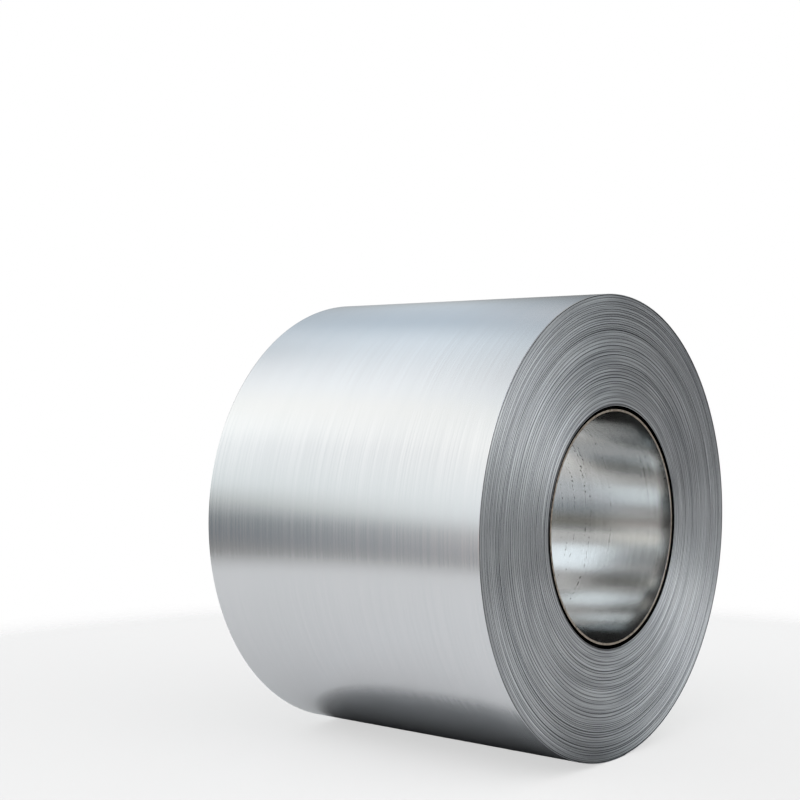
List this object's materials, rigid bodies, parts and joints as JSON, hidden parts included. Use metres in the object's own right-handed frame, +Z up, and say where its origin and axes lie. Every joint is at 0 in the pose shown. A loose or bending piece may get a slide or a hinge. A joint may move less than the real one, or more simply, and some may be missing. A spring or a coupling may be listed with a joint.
{
  "type": "aluminum coil",
  "caption": "Coil of mill-finish aluminium strip lying on its side, wound on a thin steel sleeve whose bore takes a mandrel or a hook.",
  "frame": {"origin": "on the floor, under the middle of the coil", "axes": "+X along the coil's axis, towards the end shown in the picture; +Z up"},
  "size_m": [0.752, 1.025, 1.0248],
  "materials": {
    "strip": "mill finish, bright rolled face and slit edges",
    "sleeve": "rolled steel, bright inside, tan oxide on the cut ends"
  },
  "bodies": {
    "root": {"wound_strip": "strip", "core_sleeve": "sleeve"}
  },
  "joints": []
}
